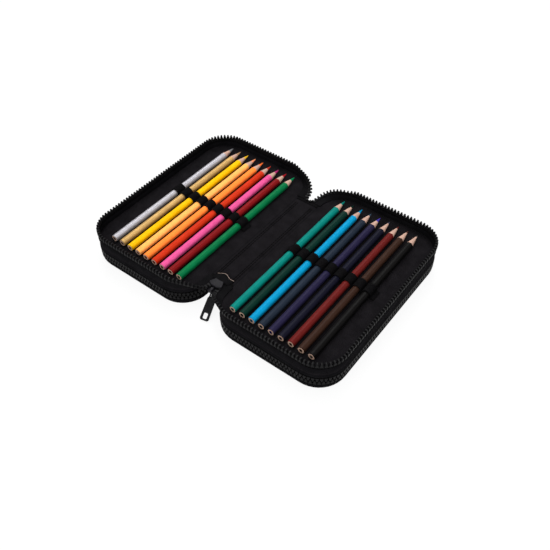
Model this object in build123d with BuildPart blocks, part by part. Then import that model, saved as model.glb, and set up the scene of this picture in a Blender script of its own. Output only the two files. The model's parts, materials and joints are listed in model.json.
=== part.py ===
from build123d import *
import math
import os

os.makedirs("parts", exist_ok=True)

# Three-deck pencil case, lying open at its middle compartment.
# It is drawn with Y 0 at the middle of the spine, and written with the origin on the
# table at the middle of its overall length, the pulls at its back included.
# +X runs to the right half, +Y to the sharpened pencil tips, +Z up. Millimetres.

# ---- driving dimensions: the case ----
half_width = 125.0        # fold line to outer wall, each half
corner_radius = 27.0      # plan radius of all corners
inner_depth = 12.5        # divider face to the middle of the closed centre zip
fabric = 1.6              # padded fabric wall
cover_board = 2.6         # outer cover's bottom board
cover_side = 7.15         # table to the top of the cover's side band
cover_edge = 3.0          # bevel along the cover's bottom edge
outer_gusset_height = 4.75
divider_thickness = 2.4
fold_gap = 0.15           # free gap at each fabric fold
binding_width = 5.0
binding_thickness = 0.6

# ---- zips ----
tooth_pitch = 3.5
tooth_length = 4.8
tooth_overlap = 1.2       # how far a tooth reaches past the middle of the chain
tooth_foot = 2.6          # width of a tooth at the tape
tooth_thickness = 2.8
tape_thickness = 1.0
inner_tape_strip = 3.9    # tape seen beside the centre chain
top_stop_length = 2.6     # along the tape
top_stop_width = 2.4
corner_teeth = 9          # teeth on each twisted corner
corner_gores = 6          # flat gores in each twisted corner

# ---- sliders, links and pulls ----
slider_length = 13.0
slider_width = 12.0
slider_plate = 1.3
slider_clearance = 0.3    # slider plate to tooth face
post_width = 2.4
post_length = 4.0
bridge_length = 7.4
bridge_width = 2.2
bridge_bar = 1.1
link_wire = 1.3
link_width = 6.8
link_length = 10.0
pull_length = 17.6
pull_width = 8.4
pull_thickness = 1.8
pull_window_length = 6.2
pull_window_width = 3.8
pin_clearance = 0.3       # round a link's wire
centre_pull_droop = 35.0  # degrees below level, at rest
slider_notch = 5.0        # the spine stops this short of its front corners, for the slider
tape_end_length = 10.0
tape_end_width = 18.0
tape_end_thickness = 0.8

# ---- pencils and their elastic loops ----
pencil_flats = 7.0        # across flats
pencil_length = 175.0
pencil_end_room = 11.5    # case wall to a pencil centred between the ends
sharpened_length = 15.0
sharpening_cuts = 12
lead_tip_radius = 0.4
pencil_pitch = 10.2
pencils_per_half = 9
first_pencil = 18.5       # fold line to the first pencil's axis
pencil_shift = 1.0        # pencils lie this far towards +Y
pencil_lift = 0.1         # running gap under a pencil
loop_width = 11.0
loop_shift = 2.0          # loop strip's middle, towards +Y
elastic = 0.9
loop_clearance = 0.25
loop_foot = 3.4           # strip sewn down beyond the end pencils

left_colours = ["silver", "gold", "yellow", "peach", "orange", "red", "pink", "crimson", "green"]
right_colours = ["teal", "fir", "cyan", "slate", "purple", "navy", "russet", "brown", "black"]

# ---- levels and places worked out from them ----
case_length = pencil_length + 2 * pencil_end_room
fold_offset = inner_depth                       # the spine is as wide as both walls are high
row_reach = tooth_length - tooth_overlap        # tape edge to the middle of a chain
outer_chain_z = cover_side + row_reach
outer_gusset_z = outer_chain_z + row_reach
divider_z = outer_gusset_z + outer_gusset_height
floor_z = divider_z + divider_thickness
inner_chain_z = floor_z + inner_depth
inner_tape_z = inner_chain_z - row_reach - inner_tape_strip
run_half = case_length / 2 - corner_radius      # half the straight run of the spine
spine_front = slider_notch - run_half
chain_inset = fabric / 2                        # chains stand on the middle of the wall
centre_x = fold_offset + half_width / 2
outer_x = fold_offset + half_width
corner_x = fold_offset + corner_radius
slider_gap = tooth_thickness + 2 * slider_clearance
stop_x = corner_x + 1.0                         # outer zips end just past the back corner
slider_x = stop_x + slider_length / 2 + 1.0
path_lead = 1.0                                 # straight run kept before and after a chain's corners
bridge_rise = link_wire + 2 * pin_clearance + bridge_bar
back_overhang = slider_clearance + slider_plate + bridge_rise  # outer sliders past the teeth
sides = {"right": 1, "left": -1}


def finish(builder, name):
    """Set a finished piece in the part's frame, label it and write it."""
    piece = builder.part.moved(Location((0, -back_overhang / 2, 0)))
    piece.label = name
    export_step(piece, f"parts/{name}.step")


def plan(inset, side):
    """Rounded plan of one half, inset from its outer face."""
    with Locations((side * centre_x, 0)):
        RectangleRounded(half_width - 2 * inset, case_length - 2 * inset, corner_radius - inset)


def band(bottom, height, inset, thickness, side, cut_to):
    """Upright band along the plan, left open on the spine side up to cut_to."""
    with BuildPart() as wall:
        with BuildSketch(Plane.XY.offset(bottom)):
            plan(inset, side)
            with BuildSketch(mode=Mode.SUBTRACT):
                plan(inset + thickness, side)
            if cut_to:
                with Locations((side * cut_to / 2, 0)):
                    Rectangle(cut_to, case_length, mode=Mode.SUBTRACT)
        extrude(amount=height)
    return wall


def chain_path(side, z):
    """Wire along a zip chain, from just before the front corner to just after the back one."""
    near, far, end = fold_offset + chain_inset, outer_x - chain_inset, case_length / 2 - chain_inset
    with BuildLine() as path:
        FilletPolyline(
            (side * near, path_lead - run_half, z),
            (side * near, -end, z),
            (side * far, -end, z),
            (side * far, end, z),
            (side * near, end, z),
            (side * near, run_half - path_lead, z),
            radius=corner_radius - chain_inset,
        )
    return path.wires()[0]


def tooth_seats(wire, start, stop, phase, up):
    """One plane for each tooth: X along the chain, Y towards the other row, Z through the tape."""
    seats = []
    for k in range(int((stop - start) / tooth_pitch - phase) + 1):
        place = path_lead + start + (k + phase) * tooth_pitch
        along = wire.tangent_at(place, PositionMode.LENGTH)
        seats.append(
            Plane(
                origin=wire.position_at(place, PositionMode.LENGTH),
                x_dir=along,
                z_dir=along.cross(Vector(0, 0, up)),
            )
        )
    return seats


def tooth_row(seats, root):
    """Wedge-shaped moulded teeth, one solid for each seat, reaching root below the tape's edge."""
    with BuildPart() as tooth:
        with BuildSketch():
            Polygon((-tooth_foot / 2, -root), (tooth_foot / 2, -root), (0, tooth_length), align=None)
        extrude(amount=tooth_thickness / 2, both=True)
    with BuildPart() as row:
        with Locations(*[seat.location for seat in seats]):
            add(tooth.part)
    return row


def hinge_wall(bottom, top, stop_z, side):
    """Spine-side wall that runs on round the back corner, as the outer zip's tail, to a top stop."""
    with BuildPart() as wall:
        with BuildSketch(Plane.XY.offset(bottom)):
            plan(0, side)
            with BuildSketch(mode=Mode.SUBTRACT):
                plan(fabric, side)
            with Locations((side * stop_x / 2, corner_radius / 2)):
                Rectangle(stop_x, 2 * run_half + corner_radius, mode=Mode.INTERSECT)
        extrude(amount=top - bottom)
        with Locations((side * (stop_x - top_stop_length / 2), case_length / 2 - chain_inset, stop_z)):
            Box(top_stop_length, tooth_thickness, top_stop_width)
    return wall


# ---- twisted corners: crease on the divider's edge, rim turning down to the spine ----
def lean(turn):
    """Lean of the wall in degrees: upright at the corner's start, flat at the spine."""
    part = min(max((turn - 20) / 60, 0), 1)
    return 90 * part * part * (3 - 2 * part)


def corner_seat(turn, side, end, height):
    """Plane on the corner's wall at a height above the crease: Y runs up the wall."""
    def point(angle, rise):
        bow = math.radians(angle)
        tilt = math.radians(lean(angle))
        radius = corner_radius - chain_inset
        return Vector(
            side * (corner_x - radius * math.sin(bow) - rise * math.sin(tilt)),
            end * (run_half + radius * math.cos(bow)),
            floor_z + tape_thickness / 2 * math.sin(tilt) + rise * math.cos(tilt),
        )

    origin = point(turn, height)
    up = (point(turn, height + 1) - origin).normalized()
    along = point(min(turn + 1, 90), height) - point(turn - 1, height)
    along = (along - up * along.dot(up)).normalized()
    return Plane(origin=origin, x_dir=along, z_dir=along.cross(up))


def twisted_corner(side, end, phase):
    """Wall and tape of one spine-side corner, cut as flat gores, with its teeth."""
    wall_height = inner_depth - row_reach
    step = math.degrees(tooth_pitch / (corner_radius - chain_inset))
    rim_seats = [corner_seat((k + phase) * step, side, end, wall_height) for k in range(corner_teeth)]
    teeth = tooth_row(rim_seats, 0.3)
    ribs = []
    for k in range(corner_gores + 1):
        seat = corner_seat(90 * k / corner_gores, side, end, 0)
        for rise, depth in ((0, -1), (0, 1), (wall_height, 1), (wall_height, -1)):
            ribs.append(seat.origin + seat.y_dir * rise + seat.z_dir * depth * tape_thickness / 2)
    faces = [Face(Wire.make_polygon(ribs[:4])), Face(Wire.make_polygon(ribs[-4:]))]
    for k in range(corner_gores):
        for edge in range(4):
            a, b = ribs[4 * k + edge], ribs[4 * k + (edge + 1) % 4]
            c, d = ribs[4 * k + 4 + edge], ribs[4 * k + 4 + (edge + 1) % 4]
            faces += [Face(Wire.make_polygon([a, b, d])), Face(Wire.make_polygon([a, d, c]))]
    with BuildPart() as corner:
        add(Solid(Shell(faces)))
        add(teeth.part)
    return corner


# ---- sliders and pulls: seat X runs from tail to mouth, seat Z out of the case ----
def slider(seat):
    """Two plates joined by the wedge between the rows, with a bridge for the pull."""
    half, tail, mouth = slider_length / 2, slider_width * 0.36, slider_width * 0.3
    with BuildPart() as body:
        for level in (slider_gap / 2, -slider_gap / 2 - slider_plate):
            with BuildSketch(seat.offset(level)):
                with BuildLine():
                    Polyline(
                        (-half, -tail), (half * 0.3, -slider_width / 2), (half, -mouth),
                        (half, mouth), (half * 0.3, slider_width / 2), (-half, tail), close=True,
                    )
                make_face()
            extrude(amount=slider_plate)
        with BuildSketch(seat):
            with Locations((half - post_length / 2, 0)):
                Rectangle(post_length, post_width)
        extrude(amount=slider_gap / 2, both=True)
        deck = seat.offset(slider_gap / 2 + slider_plate)
        profile = Plane(origin=deck.origin, x_dir=deck.x_dir, z_dir=-deck.y_dir)
        with BuildSketch(profile):
            with Locations((0, bridge_rise / 2)):
                Rectangle(bridge_length, bridge_rise)
            with Locations((0, (bridge_rise - bridge_bar) / 2)):
                Rectangle(bridge_length - 2 * bridge_bar, bridge_rise - bridge_bar, mode=Mode.SUBTRACT)
        extrude(amount=bridge_width / 2, both=True)
        outer_corners = body.edges().filter_by(Axis(deck.origin, deck.y_dir)).sort_by(
            lambda edge: -deck.to_local_coords(edge.center()).Z
        )[:2]
        chamfer(outer_corners, bridge_bar * 0.6)
    return body


def pull_seat(seat, droop):
    """Plane on a pull's hinge axis: X along the pull, Y along the hinge axis."""
    level = slider_gap / 2 + slider_plate + pin_clearance + link_wire / 2
    pivot = seat.offset(level)
    return Plane(pivot.location * Location((0, 0, 0), (0, -droop, 0)))


def cut_rectangle(length, width, cut, mode):
    """Rectangle with its corners cut off."""
    x, y = length / 2, width / 2
    Polygon(
        (cut - x, -y), (x - cut, -y), (x, cut - y), (x, y - cut),
        (x - cut, y), (cut - x, y), (-x, y - cut), (-x, cut - y), align=None, mode=mode,
    )


def pull_link(seat):
    """Flat wire ring that hooks under the bridge."""
    with BuildPart() as link:
        with BuildSketch(seat.offset(-link_wire / 2)):
            with Locations((link_length / 2 - link_wire / 2, 0)):
                cut_rectangle(link_length, link_width, link_wire * 0.7, Mode.ADD)
                Rectangle(link_length - 2 * link_wire, link_width - 2 * link_wire, mode=Mode.SUBTRACT)
        extrude(amount=link_wire)
    return link


def pull_tab(seat):
    """Bare moulded pull with a window near its end and an eye round the link's wire."""
    eye_x = link_length - link_wire
    eye_hole = link_wire / 2 * math.sqrt(2) + pin_clearance
    eye_radius = eye_hole + 0.7
    neck = link_width - 2 * link_wire - 2 * pin_clearance
    shoulder = eye_x + eye_radius + 0.8
    side_plane = Plane(origin=seat.origin, x_dir=seat.x_dir, z_dir=-seat.y_dir)
    with BuildPart() as tab:
        with BuildSketch(side_plane):
            with Locations((eye_x, 0)):
                RegularPolygon(eye_radius, 8, major_radius=False, rotation=22.5)
        extrude(amount=neck / 2, both=True)
        with BuildSketch(seat.offset(-pull_thickness / 2)):
            with Locations(((eye_x + shoulder + 1) / 2, 0)):
                Rectangle(shoulder + 1 - eye_x, neck)
            with BuildLine():
                Polyline(
                    (shoulder, -pull_width * 0.36), (shoulder + pull_length - 2, -pull_width / 2),
                    (shoulder + pull_length, -pull_width * 0.3), (shoulder + pull_length, pull_width * 0.3),
                    (shoulder + pull_length - 2, pull_width / 2), (shoulder, pull_width * 0.36), close=True,
                )
            make_face()
            with Locations((shoulder + pull_length - pull_window_length / 2 - 1.6, 0)):
                cut_rectangle(pull_window_length, pull_window_width, pull_window_width / 4, Mode.SUBTRACT)
        extrude(amount=pull_thickness)
        with BuildSketch(side_plane):
            with Locations((eye_x, 0)):
                Circle(eye_hole)
        extrude(amount=pull_width, both=True, mode=Mode.SUBTRACT)
    return tab


def zip_pull_set(name, seat, droop):
    """Write a slider, its link and its pull."""
    hinge = pull_seat(seat, droop)
    finish(slider(seat), f"{name}_slider")
    finish(pull_link(hinge), f"{name}_pull_link")
    finish(pull_tab(hinge), f"{name}_pull_tab")


# ---- outer covers, dividers, gussets, tapes and teeth of both halves ----
outer_start = tooth_pitch / 2
bend = (corner_radius - chain_inset) * math.pi / 2  # a chain's length round one corner
for half, side in sides.items():
    seam = outer_chain_z - fold_gap
    rise = hinge_wall(cover_side, seam, seam - top_stop_width / 2, side)
    with BuildPart() as shell:
        with BuildSketch():
            plan(0, side)
        extrude(amount=cover_side)
        chamfer(shell.faces().sort_by(Axis.Z)[0].edges(), cover_edge * 0.999)
        with BuildSketch(Plane.XY.offset(cover_board)):
            plan(fabric, side)
        extrude(amount=cover_side, mode=Mode.SUBTRACT)
        add(rise.part)
    finish(shell, f"{half}_cover")

    ring = band(outer_gusset_z, outer_gusset_height, 0, fabric, side, 0)
    seam = outer_chain_z + fold_gap
    drop = hinge_wall(seam, outer_gusset_z, seam + top_stop_width / 2, side)
    with BuildPart() as gusset:
        add(ring.part)
        add(drop.part)
    finish(gusset, f"{half}_outer_gusset")

    lower = chain_path(side, outer_chain_z - row_reach)
    upper = chain_path(side, outer_chain_z + row_reach)
    back_end = lower.length - 2 * path_lead - bend - (slider_x - corner_x)
    finish(tooth_row(tooth_seats(lower, outer_start, back_end, 0.25, 1), 0), f"{half}_cover_teeth")
    finish(tooth_row(tooth_seats(upper, outer_start, back_end, 0.75, -1), 0), f"{half}_outer_teeth")

    with BuildPart() as divider:
        with BuildSketch(Plane.XY.offset(divider_z)):
            plan(0, side)
        extrude(amount=divider_thickness)
    finish(divider, f"{half}_divider")

    inner_gusset = band(floor_z, inner_tape_z - floor_z, 0, fabric, side, corner_x)
    finish(inner_gusset, f"{half}_inner_gusset")
    inner_tape = band(
        inner_tape_z, inner_tape_strip, chain_inset - tape_thickness / 2, tape_thickness, side, corner_x
    )
    finish(inner_tape, f"{half}_inner_tape")

    rim = chain_path(side, inner_chain_z - row_reach)
    phase = 0.25 if side > 0 else 0.75
    rim_seats = tooth_seats(rim, bend, rim.length - 2 * path_lead - bend, phase, 1)
    finish(tooth_row(rim_seats, 0), f"{half}_inner_teeth")
    left_over = (rim.length - 2 * path_lead - 2 * bend) / tooth_pitch - phase
    finish(twisted_corner(side, -1, 1 - phase), f"{half}_front_corner")
    finish(twisted_corner(side, 1, math.ceil(left_over) - left_over), f"{half}_back_corner")

    back_wall = case_length / 2 - chain_inset
    seat = Plane(origin=(side * slider_x, back_wall, outer_chain_z), x_dir=(-side, 0, 0), z_dir=(0, 1, 0))
    zip_pull_set(f"{half}_outer", seat, 180)


# ---- elastic loops: one strip that hugs every pencil of a half ----
pencil_z = floor_z + pencil_lift + pencil_flats / 2
hex_side = pencil_flats / math.sqrt(3)
for half, side in sides.items():
    with BuildPart() as loops:
        with BuildSketch(Plane.XZ.offset(-loop_shift - loop_width / 2)):
            axes = [
                (side * (fold_offset + first_pencil + k * pencil_pitch), pencil_z)
                for k in range(pencils_per_half)
            ]
            with Locations(*axes):
                RegularPolygon(pencil_flats / 2 + loop_clearance + elastic, 6, major_radius=False)
            span = (pencils_per_half - 1) * pencil_pitch + 2 * hex_side + 2 * loop_foot
            middle = (axes[0][0] + axes[-1][0]) / 2
            with Locations((middle, floor_z + pencil_flats / 4)):
                Rectangle(span, pencil_flats / 2)
            with Locations(*axes):
                RegularPolygon(pencil_flats / 2 + loop_clearance, 6, major_radius=False, mode=Mode.SUBTRACT)
            with Locations((middle, floor_z - case_length / 2)):
                Rectangle(half_width * 2, case_length, mode=Mode.SUBTRACT)
        extrude(amount=loop_width)
    finish(loops, f"{half}_pencil_loops")

# ---- pencils: hexagonal casing, sharpened with flat cuts to a blunted lead ----
cone_slope = (pencil_flats / 2 - lead_tip_radius) / sharpened_length
cut_length = (hex_side - lead_tip_radius) / cone_slope
blunt_y = pencil_shift - pencil_length / 2
for half, side in sides.items():
    colours = right_colours if side > 0 else left_colours[::-1]
    for k, colour in enumerate(colours):
        axis_x = side * (fold_offset + first_pencil + k * pencil_pitch)
        blunt = Plane(origin=(axis_x, blunt_y, pencil_z), x_dir=(1, 0, 0), z_dir=(0, 1, 0))
        tip = blunt.offset(pencil_length)
        cuts = []
        for turn in range(sharpening_cuts):
            spoke = Plane(tip.location * Location((0, 0, 0), (0, 0, 360 / sharpening_cuts * (turn + 0.5))))
            cuts.append(Plane(origin=tip.origin, x_dir=spoke.x_dir, z_dir=spoke.y_dir))
        with BuildPart() as pencil:
            with BuildSketch(blunt):
                RegularPolygon(pencil_flats / 2, 6, major_radius=False)
            extrude(amount=pencil_length)
            with BuildSketch(*cuts):
                Polygon(
                    (lead_tip_radius, 0), (hex_side, cut_length), (pencil_flats, cut_length),
                    (pencil_flats, 0), align=None,
                )
            extrude(amount=pencil_flats, both=True, mode=Mode.SUBTRACT)
        finish(pencil, f"pencil_{colour}")

# ---- spine: panel, bindings, folded tape end, stops and the centre slider ----
with BuildPart() as panel:
    with BuildSketch(Plane.XY.offset(divider_z)):
        with Locations((0, (run_half + spine_front) / 2)):
            Rectangle(2 * (fold_offset - fold_gap), run_half - spine_front)
    extrude(amount=divider_thickness)
finish(panel, "spine_panel")

with BuildPart() as bindings:
    with BuildSketch(Plane.XY.offset(floor_z)):
        with Locations((0, run_half - binding_width / 2), (0, spine_front + binding_width / 2)):
            Rectangle(2 * (fold_offset - fold_gap) - 0.6, binding_width)
    extrude(amount=binding_thickness)
finish(bindings, "spine_bindings")

binding_top = floor_z + binding_thickness
with BuildPart() as tape_end:
    with BuildSketch(Plane.XY.offset(binding_top)):
        with Locations((0, spine_front + tape_end_length / 2)):
            Rectangle(tape_end_width, tape_end_length)
    extrude(amount=tape_end_thickness)
finish(tape_end, "centre_tape_end")

with BuildPart() as bottom_stop:
    with BuildSketch(Plane.XY.offset(binding_top + tape_end_thickness)):
        with Locations((0, spine_front + 1.6)):
            Rectangle(2 * row_reach * 0.7, 2.4)
    extrude(amount=1.6)
finish(bottom_stop, "centre_bottom_stop")

with BuildPart() as top_stops:
    with BuildSketch(Plane.XY.offset(binding_top)):
        with Locations((row_reach * 0.6, run_half - 1.6), (-row_reach * 0.6, run_half - 1.6)):
            Rectangle(top_stop_width, top_stop_length)
    extrude(amount=1.6)
finish(top_stops, "centre_top_stops")

centre_seat = Plane(
    origin=(0, spine_front - fold_gap - slider_length / 2, floor_z), x_dir=(0, -1, 0), z_dir=(0, 0, -1)
)
zip_pull_set("centre", centre_seat, centre_pull_droop)
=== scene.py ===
"""Dresses the zipped pencil case: padded cloth, zips, pulls, elastic loops and pencils."""

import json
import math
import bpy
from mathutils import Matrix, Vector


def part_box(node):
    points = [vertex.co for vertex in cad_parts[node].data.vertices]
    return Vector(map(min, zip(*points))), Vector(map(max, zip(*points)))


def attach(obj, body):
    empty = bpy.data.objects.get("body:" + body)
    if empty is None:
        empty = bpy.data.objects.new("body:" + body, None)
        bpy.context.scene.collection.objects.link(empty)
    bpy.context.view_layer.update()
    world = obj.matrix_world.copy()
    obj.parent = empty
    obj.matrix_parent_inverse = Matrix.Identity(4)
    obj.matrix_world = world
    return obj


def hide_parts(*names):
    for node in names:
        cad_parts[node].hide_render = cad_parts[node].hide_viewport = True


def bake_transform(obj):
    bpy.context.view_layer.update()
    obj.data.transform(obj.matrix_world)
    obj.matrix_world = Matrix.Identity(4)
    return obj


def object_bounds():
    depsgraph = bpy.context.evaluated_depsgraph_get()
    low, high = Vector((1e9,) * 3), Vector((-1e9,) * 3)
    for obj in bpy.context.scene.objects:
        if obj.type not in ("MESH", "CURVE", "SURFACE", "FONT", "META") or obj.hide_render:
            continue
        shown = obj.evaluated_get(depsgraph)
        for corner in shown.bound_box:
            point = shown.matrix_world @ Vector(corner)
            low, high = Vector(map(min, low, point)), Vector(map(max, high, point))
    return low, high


bl_info = {
    "name": "Zipped pencil case",
    "version": (1, 0, 0),
    "blender": (4, 5, 0),
    "location": "View3D > Sidebar > Pencil case",
    "description": "Builds the cloth, zips, pulls, loops and pencils of a three-deck pencil case",
    "category": "Add Mesh",
}

import bmesh
import bpy
from mathutils import Matrix, Vector, noise

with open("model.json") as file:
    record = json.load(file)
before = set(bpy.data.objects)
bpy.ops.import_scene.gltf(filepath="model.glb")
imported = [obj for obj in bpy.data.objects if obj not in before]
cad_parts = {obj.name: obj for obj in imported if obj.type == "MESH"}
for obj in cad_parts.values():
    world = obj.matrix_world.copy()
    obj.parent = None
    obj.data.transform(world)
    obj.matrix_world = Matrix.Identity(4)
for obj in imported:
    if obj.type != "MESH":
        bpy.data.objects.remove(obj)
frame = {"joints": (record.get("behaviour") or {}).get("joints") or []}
cad_low, cad_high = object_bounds()

# Places taken from the frame, for the right half. The left half is its mirror image.
divider_low, divider_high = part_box("right_divider")
spine_low, spine_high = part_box("spine_panel")
fold_x, outer_x = divider_low.x, divider_high.x
mid_y = (divider_low.y + divider_high.y) / 2
half_length = (divider_high.y - divider_low.y) / 2
deck_z, floor_z = divider_low.z, divider_high.z
run_half = spine_high.y - mid_y
front_y, back_y = mid_y - run_half, mid_y + run_half
corner_radius = half_length - run_half
corner_x, far_x = fold_x + corner_radius, outer_x - corner_radius
run, cross = 2 * run_half, far_x - corner_x
hinge_low, hinge_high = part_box("right_outer_gusset")[0].z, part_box("right_cover")[1].z
slider_low, slider_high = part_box("right_outer_slider")
stop_x = slider_low.x - 0.001
cover_rim_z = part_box("right_cover_teeth")[0].z
outer_rim_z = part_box("right_outer_teeth")[1].z
inner_tape_z, inner_rim_z = (corner.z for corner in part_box("right_inner_tape"))
SIDES = {"right": 1, "left": -1}
WALL = 0.0016  # thickness of the sewn walls
PHASES = {"right": 0.25, "left": 0.75}  # where a centre row begins, in pitches, so that the rows mesh
TURNED_SINK = 0.002  # how much lower the teeth sit where the zip turns down
SAWN = 0.02  # mark in a pencil's map for its blunt end, more than any cone cuts
SHARP = 0.00008  # depth over which lacquer gives way to wood, and wood to lead
BURIED = 0.0007  # how far a wall's foot is sewn into the board it stands on
TAIL_LAP = 0.0015  # how far the twisted tapes lie over the spine's ends
BROAD = 0.0003  # faces with a larger area are shaded flat
LEVEL = 1e-7  # edges whose ends differ by less lie level
SPECK = 1e-6  # places nearer to one another are the same place
RIGHT_ANGLE = math.pi / 2
ARC_STEPS, RUN_STEPS = 10, 14  # divisions of a wall's corner and of its straight end
PLAY = 0.0003  # room between a slider and the teeth, and round its ring
PLATE = 0.0013  # thickness of a slider's plates
WIRE = 0.0013  # thickness of the rings
GLANCE = 0.01  # small turn over which a twisted corner's direction is taken, in radians
WAVE_BANDS = 20  # a wave texture of scale 1 repeats this often in tau metres
WHITE = (1, 1, 1, 1)
FLOOR_WHITE = 0.88  # share of plain white that the floor shows near the case
LEFT_COLOURS = {
    "silver": (0.34, 0.33, 0.355), "gold": (0.4, 0.25, 0.09), "yellow": (0.76, 0.415, 0.001),
    "peach": (0.9, 0.4, 0.098), "orange": (0.93, 0.22, 0.034), "red": (0.47, 0.026, 0.006),
    "pink": (0.62, 0.073, 0.238), "crimson": (0.168, 0.005, 0.006), "green": (0.001, 0.125, 0.04),
}
RIGHT_COLOURS = {
    "teal": (0.001, 0.163, 0.137), "fir": (0.002, 0.02, 0.014), "cyan": (0.001, 0.226, 0.43),
    "slate": (0.0115, 0.0175, 0.029), "purple": (0.0135, 0.0112, 0.035), "navy": (0.005, 0.005, 0.012),
    "russet": (0.1, 0.009, 0.008), "brown": (0.028, 0.0125, 0.008), "black": (0.0034, 0.0031, 0.0031),
}
# The leads that aren't simply a little darker than their lacquer. The black and navy leads are grey: painted
# sheen of their lit tips on a dark lead.
LEAD_COLOURS_AND_SHEEN = {
    "silver": (0.16, 0.16, 0.17), "gold": (0.33, 0.19, 0.1), "yellow": (0.66, 0.36, 0.01),
    "peach": (0.72, 0.24, 0.11), "orange": (0.72, 0.13, 0.025), "red": (0.36, 0.025, 0.012),
    "pink": (0.33, 0.02, 0.12), "crimson": (0.26, 0.006, 0.012), "green": (0.001, 0.17, 0.06),
    "slate": (0.03, 0.05, 0.075), "purple": (0.045, 0.028, 0.24), "navy": (0.06, 0.055, 0.09),
    "brown": (0.06, 0.02, 0.014), "black": (0.05, 0.046, 0.046),
}
# Shares of the lead's radius, for the leads that show less of it.
THIN_LEADS = {"fir": 0.75, "slate": 0.7, "navy": 0.5, "russet": 0.62, "brown": 0.58, "black": 0.45}


def length_property(name, description, default):
    """A size that a user may change."""
    return bpy.props.FloatProperty(
        name=name, description=description, default=default, unit="LENGTH", precision=5
    )


def angle_property(name, description, degrees):
    """An angle that a user may change."""
    return bpy.props.FloatProperty(
        name=name, description=description, default=math.radians(degrees), subtype="ANGLE"
    )


def colour_property(name, description, default):
    """A colour that a user may change."""
    return bpy.props.FloatVectorProperty(
        name=name, description=description, default=default, subtype="COLOR", min=0, max=1
    )


class ClothSettings(bpy.types.PropertyGroup):
    """Sizes and colours of the sewn cloth parts."""

    padding: length_property("Padding", "How far the padded walls swell", 0.0004)
    thread: length_property("Thread", "Width of one woven thread", 0.0006)
    stitch_pitch: length_property("Stitch pitch", "From one stitch to the next", 0.0031)
    cloth_colour: colour_property("Cloth", "Outer cloth", (0.0042, 0.004, 0.0047))
    lining_colour: colour_property("Lining", "Cloth inside the case", (0.0068, 0.0061, 0.0071))
    tape_colour: colour_property("Tape", "Woven zip tape", (0.004, 0.0038, 0.0043))
    elastic_colour: colour_property("Elastic", "Pencil loops", (0.003, 0.0028, 0.0031))
    raw_edge_colour: colour_property("Raw edge", "Cut end of the folded tape", (0.26, 0.2, 0.17))


class ZipSettings(bpy.types.PropertyGroup):
    """Sizes and colours of the zips."""

    pitch: length_property("Pitch", "From one tooth to the next in a row", 0.0035)
    tooth_depth: length_property("Tooth depth", "Through the tape", 0.0028)
    tooth_colour: colour_property("Teeth", "Moulded teeth", (0.0034, 0.0032, 0.0036))
    metal_colour: colour_property("Slider", "Enamelled sliders", (0.0085, 0.008, 0.0098))
    pull_colour: colour_property("Pull", "Moulded pulls", (0.006, 0.006, 0.0065))


class PencilSettings(bpy.types.PropertyGroup):
    """Sizes and colours shared by all the pencils."""

    sharpened: length_property("Sharpened length", "From the scallops' roots to the tip", 0.0176)
    lead: length_property("Lead radius", "Radius of the coloured lead", 0.0017)
    edge_round: length_property("Edge rounding", "Roundness of the six edges", 0.0008)
    slimness: bpy.props.FloatProperty(
        name="Slimness", description="Share of the pencil's room that its width fills", default=0.945
    )
    wood_colour: colour_property("Wood", "Bare sharpened wood", (0.47, 0.3, 0.235))
    # The sawn end is paler than the bare wood: partly its own end grain, partly painted light for that end
    # face, which the lamps barely reach.
    end_grain_lit_colour: colour_property("End grain", "Sawn wood at the blunt end", (0.8, 0.54, 0.41))


class StageSettings(bpy.types.PropertyGroup):
    """Camera and studio."""

    azimuth: angle_property("Azimuth", "Camera turned about the case", 37.02)
    elevation: angle_property("Elevation", "Camera above the table", 47.19)
    roll: angle_property("Roll", "Camera turned about its own axis", 0.087)
    distance: length_property("Distance", "Camera to the point it looks at", 0.5939)
    target: bpy.props.FloatVectorProperty(
        name="Target", description="Point the camera looks at", default=(0.03563, -0.03499, 0.025),
        subtype="TRANSLATION",
    )
    lens: bpy.props.FloatProperty(name="Lens", description="Focal length in millimetres", default=43.55)
    floor_colour: colour_property("Floor", "Plain pale floor", (0.86, 0.86, 0.86))


# ---- materials ----
def new_node(tree, kind, inputs=(), **settings):
    """Add a shader node with its settings, and with a value or a link at each input."""
    made = tree.nodes.new("ShaderNode" + kind)
    for key, value in settings.items():
        setattr(made, key, value)
    for key, value in dict(inputs).items():
        if isinstance(value, bpy.types.NodeSocket):
            tree.links.new(value, made.inputs[key])
        else:
            made.inputs[key].default_value = value
    return made


def new_material(name, colour, roughness, **shader):
    """A material with its shader's constants set; returns its tree, its shader and its coordinates."""
    material = bpy.data.materials.new(name)
    material.use_nodes = True
    material.diffuse_color = (*colour, 1)
    tree = material.node_tree
    surface = tree.nodes["Principled BSDF"]
    surface.inputs["Base Color"].default_value = (*colour, 1)
    surface.inputs["Roughness"].default_value = roughness
    for key, value in shader.items():
        surface.inputs[key.replace("_", " ").title().replace("Ior", "IOR")].default_value = value
    return tree, surface, new_node(tree, "TexCoord").outputs


def new_cloth(name, colour, roughness):
    """A dull material with the faint sheen of cloth."""
    return new_material(
        name, colour, roughness, sheen_weight=0.001, sheen_roughness=0.4, specular_ior_level=0.012
    )


def toned(colour, share):
    """A colour made darker or lighter, with its alpha."""
    return (*[min(channel * share, 1) for channel in colour], 1)


def tone_ramp(tree, value, colour, low, high, start=0.0, end=1.0):
    """Ramp between two brightnesses of a colour."""
    ramp = new_node(tree, "ValToRGB", {"Fac": value})
    first, last = ramp.color_ramp.elements
    first.position, last.position = start, end
    first.color, last.color = toned(colour, low), toned(colour, high)
    return ramp.outputs["Color"]


def noisy(tree, place, scale, detail, **more):
    """Soft noise about a place."""
    inputs = {"Vector": place, "Scale": scale, "Detail": detail, **more}
    return new_node(tree, "TexNoise", inputs).outputs["Fac"]


def vary_colour(tree, surface, places, colour, scale, low, high):
    """Let a colour drift between two brightnesses."""
    drift = noisy(tree, places["Object"], scale, 5.0, Roughness=0.6)
    drifting = tone_ramp(tree, drift, colour, low, high, 0.3, 0.7)
    tree.links.new(drifting, surface.inputs["Base Color"])
    return drifting


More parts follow.
